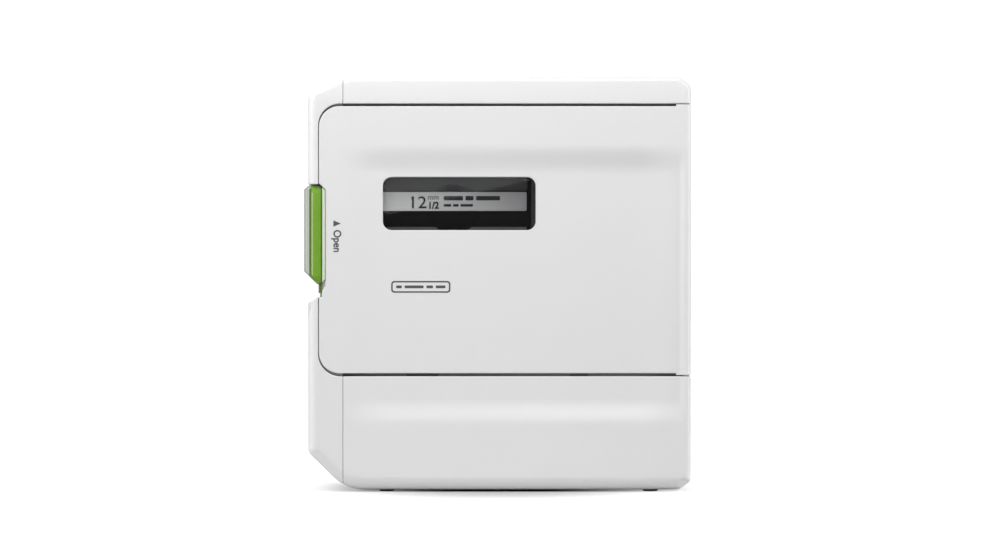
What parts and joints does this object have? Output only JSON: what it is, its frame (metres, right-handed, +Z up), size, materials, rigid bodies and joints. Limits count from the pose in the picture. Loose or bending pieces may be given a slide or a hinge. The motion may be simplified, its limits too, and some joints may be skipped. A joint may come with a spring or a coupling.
{
  "type": "label maker",
  "caption": "Upright desktop label maker with a side-hinged front door, smoked window, press-down tape cutter, tape cartridge, printing drive and rear cell bay.",
  "frame": {"origin": "centre of the overall bounding box in plan, at the table plane under the feet", "axes": "+Z up, the front with the door and window faces -Y, +X to the right seen from the front"},
  "size_m": [0.124, 0.073, 0.133],
  "materials": {
    "case_white": "fine satin moulded white plastic",
    "window_smoke": "clear smoked plastic lens",
    "lever_clear": "clear moulded plastic, polished",
    "lever_green": "see-through green plastic, polished",
    "pin_steel": "drawn steel",
    "sheet_steel": "pressed zinc-plated sheet",
    "blade_steel": "ground steel with a bright edge",
    "button_grey": "satin light grey plastic",
    "light_ring": "frosted green light ring",
    "board_green": "solder-masked circuit board",
    "shield_can": "tinned metal can",
    "socket_black": "black moulded plastic",
    "foot_rubber": "dark elastomer",
    "inner_grey": "dark grey moulded plastic, fine texture",
    "gear_ivory": "natural acetal",
    "pinion_brass": "turned brass",
    "motor_can": "drawn and plated steel can",
    "head_ceramic": "glazed ceramic strip",
    "sink_alloy": "milled aluminium",
    "cartridge_black": "black moulded plastic, fine texture",
    "label_silver": "printed silver-grey label",
    "tape_white": "wound white tape",
    "roller_rubber": "ground elastomer",
    "ribbon_dark": "wound ink ribbon",
    "cell_wrap": "shrink wrap over a steel can"
  },
  "bodies": {
    "housing": {"front_case": "case_white", "rear_case": "case_white", "left_end_cap": "case_white", "hinge_pin_lower": "pin_steel", "hinge_pin_upper": "pin_steel", "status_light": "light_ring", "button_board": "board_green", "power_jack": "socket_black", "foot_left_front": "foot_rubber", "foot_left_rear": "foot_rubber", "foot_right_front": "foot_rubber", "foot_right_rear": "foot_rubber", "case_screw_1": "pin_steel", "case_screw_2": "pin_steel", "case_screw_3": "pin_steel", "case_screw_4": "pin_steel", "chassis": "inner_grey", "gear_plate": "sheet_steel", "motor": "motor_can", "head_pivot_pin": "pin_steel", "head_spring": "pin_steel", "cartridge_base": "cartridge_black", "cartridge_lid": "cartridge_black", "cartridge_label": "label_silver", "tape_strip": "tape_white", "fixed_blade": "blade_steel", "guide_rod": "pin_steel", "cutter_guide": "sheet_steel", "battery_box": "inner_grey", "contact_strip_lower": "sheet_steel", "contact_strip_upper": "sheet_steel", "main_board": "board_green", "radio_module": "shield_can", "battery_cell_1": "cell_wrap", "battery_cell_2": "cell_wrap", "battery_cell_3": "cell_wrap", "battery_cell_4": "cell_wrap", "battery_cell_5": "cell_wrap", "battery_cell_6": "cell_wrap"},
    "door": {"cartridge_door": "case_white", "door_window": "window_smoke"},
    "lever": {"cutter_lever": "lever_clear", "lever_core": "lever_green", "moving_blade": "blade_steel", "return_spring": "pin_steel"},
    "button": {"power_button": "button_grey"},
    "cell_cover": {"battery_cover": "case_white"},
    "platen_drive": {"platen_gear": "gear_ivory", "platen_roller": "roller_rubber"},
    "idler": {"idler_gear": "gear_ivory"},
    "pinion": {"motor_pinion": "pinion_brass"},
    "ribbon_drive": {"ribbon_gear": "gear_ivory", "ribbon_take_up": "ribbon_dark"},
    "tape_reel": {"tape_roll": "tape_white", "tape_core": "gear_ivory"},
    "ribbon_reel": {"ribbon_supply": "ribbon_dark"},
    "head": {"head_arm": "sheet_steel", "print_head": "head_ceramic", "heat_sink": "sink_alloy"}
  },
  "joints": [
    {"name": "door_hinge", "type": "hinge", "parent": "housing", "child": "door", "pos_m": [0.0603, -0.0224, 0.0808], "axis": [0, 0, 1], "range_deg": [0, 94]},
    {"name": "lever_press", "type": "slide", "parent": "housing", "child": "lever", "axis": [0, 0, -1], "range_m": [0, 0.0018], "stiffness_N_per_m": 600, "springref_m": -0.002, "deforming": ["return_spring"]},
    {"name": "button_press", "type": "slide", "parent": "housing", "child": "button", "axis": [0, 0, -1], "range_m": [0, 0.0006], "stiffness_N_per_m": 900, "springref_m": -0.0006},
    {"name": "cell_cover_off", "type": "slide", "parent": "housing", "child": "cell_cover", "axis": [0, 1, 0], "range_m": [0, 0.04]},
    {"name": "head_retract", "type": "hinge", "parent": "housing", "child": "head", "pos_m": [-0.0285, -0.019, 0.0602], "axis": [0, -1, 0], "range_deg": [0, 3], "stiffness_Nm_per_rad": 0.05, "springref_deg": -5.73},
    {"name": "platen_spin", "type": "hinge", "parent": "housing", "child": "platen_drive", "pos_m": [-0.044, -0.005, 0.0673], "axis": [0, 1, 0], "continuous": true},
    {"name": "idler_spin", "type": "hinge", "parent": "housing", "child": "idler", "pos_m": [-0.0304, -0.005, 0.0673], "axis": [0, 1, 0], "continuous": true},
    {"name": "pinion_spin", "type": "hinge", "parent": "housing", "child": "pinion", "pos_m": [-0.01876, -0.005, 0.07707], "axis": [0, 1, 0], "continuous": true},
    {"name": "ribbon_spin", "type": "hinge", "parent": "housing", "child": "ribbon_drive", "pos_m": [-0.03762, -0.005, 0.07931], "axis": [0, 1, 0], "continuous": true},
    {"name": "tape_spin", "type": "hinge", "parent": "housing", "child": "tape_reel", "pos_m": [-0.0145, -0.005, 0.08525], "axis": [0, 1, 0], "continuous": true},
    {"name": "supply_spin", "type": "hinge", "parent": "housing", "child": "ribbon_reel", "pos_m": [0.013, -0.005, 0.069], "axis": [0, 1, 0], "continuous": true}
  ],
  "couplings": [
    {"joint": "idler_spin", "follows": "platen_spin", "ratio": -1.4286},
    {"joint": "pinion_spin", "follows": "platen_spin", "ratio": 4},
    {"joint": "ribbon_spin", "follows": "platen_spin", "ratio": -1.4286},
    {"joint": "tape_spin", "follows": "platen_spin", "ratio": 0.20588},
    {"joint": "supply_spin", "follows": "platen_spin", "ratio": 0.71429}
  ]
}
